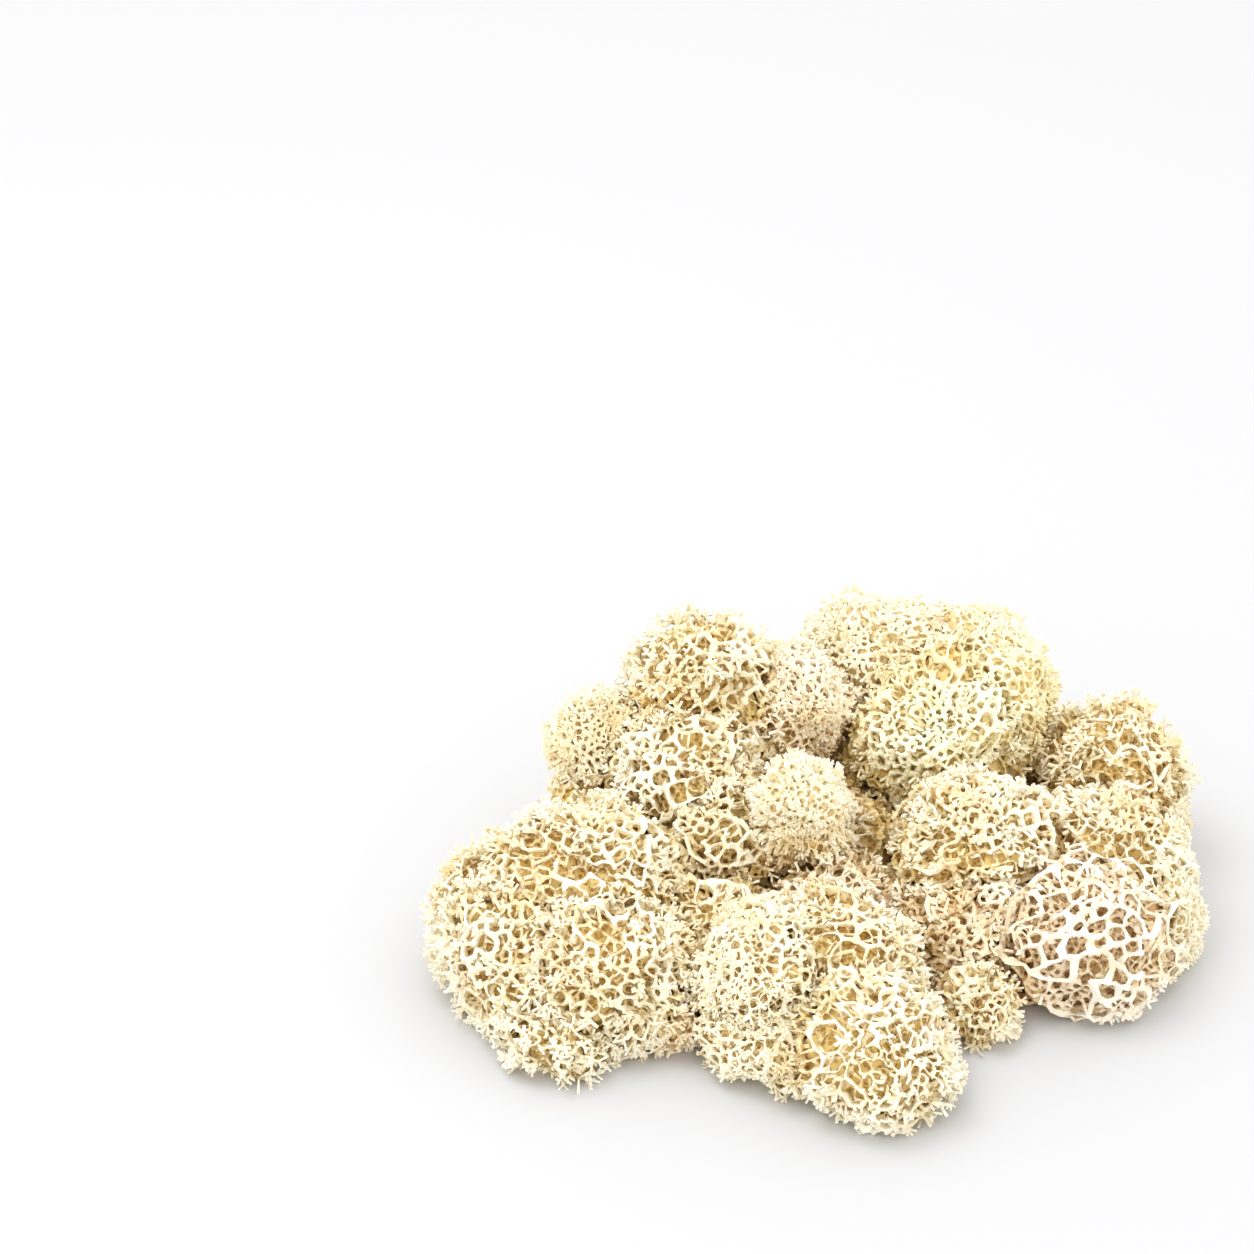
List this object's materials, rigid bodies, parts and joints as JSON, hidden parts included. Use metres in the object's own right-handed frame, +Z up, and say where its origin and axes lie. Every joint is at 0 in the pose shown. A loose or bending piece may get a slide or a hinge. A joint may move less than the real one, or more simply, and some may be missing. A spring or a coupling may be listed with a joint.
{
  "type": "reindeer moss clump",
  "caption": "Low heap of cream reindeer moss cushions with forked, netted branchlets, pressed together and resting on flat undersides.",
  "frame": {"origin": "on the ground, under the middle of the clump's bounding box", "axes": "+X along the clump's longest side, +Y away from the side it is seen from, +Z up"},
  "size_m": [0.2608, 0.225, 0.0933],
  "materials": {
    "ivory_lichen": "matt, dry, palest cream tips over a warmer inside",
    "cream_lichen": "matt, dry, cream",
    "straw_lichen": "matt, dry, pale straw yellow",
    "blush_lichen": "matt, dry, pale net over a pinkish tan inside"
  },
  "bodies": {
    "root": {"head_top_left": "ivory_lichen", "head_back_centre": "cream_lichen", "head_back_right": "cream_lichen", "head_pink_recess": "blush_lichen", "head_left_small": "cream_lichen", "head_middle_left": "ivory_lichen", "head_centre_ball": "cream_lichen", "head_centre_left_low": "cream_lichen", "head_yellow_main": "straw_lichen", "head_yellow_right": "straw_lichen", "head_net_upper": "ivory_lichen", "head_right_open": "cream_lichen", "head_right_upper": "ivory_lichen", "head_right_coarse": "blush_lichen", "head_right_fuzzy": "cream_lichen", "head_left_top": "ivory_lichen", "head_left_end": "cream_lichen", "head_left_low": "cream_lichen", "head_left_front": "ivory_lichen", "head_left_tip": "ivory_lichen", "head_front_left": "cream_lichen", "head_front_low": "cream_lichen", "head_front_middle": "ivory_lichen", "head_front_right": "ivory_lichen", "head_net_lower": "blush_lichen", "head_low_tuft": "straw_lichen", "head_low_gap": "blush_lichen", "head_under_centre": "blush_lichen", "head_low_middle": "cream_lichen", "head_base_left": "cream_lichen", "head_base_far_left": "cream_lichen", "head_base_middle": "cream_lichen", "head_base_back": "cream_lichen", "head_base_back_right": "cream_lichen", "head_base_centre": "cream_lichen"}
  },
  "joints": []
}
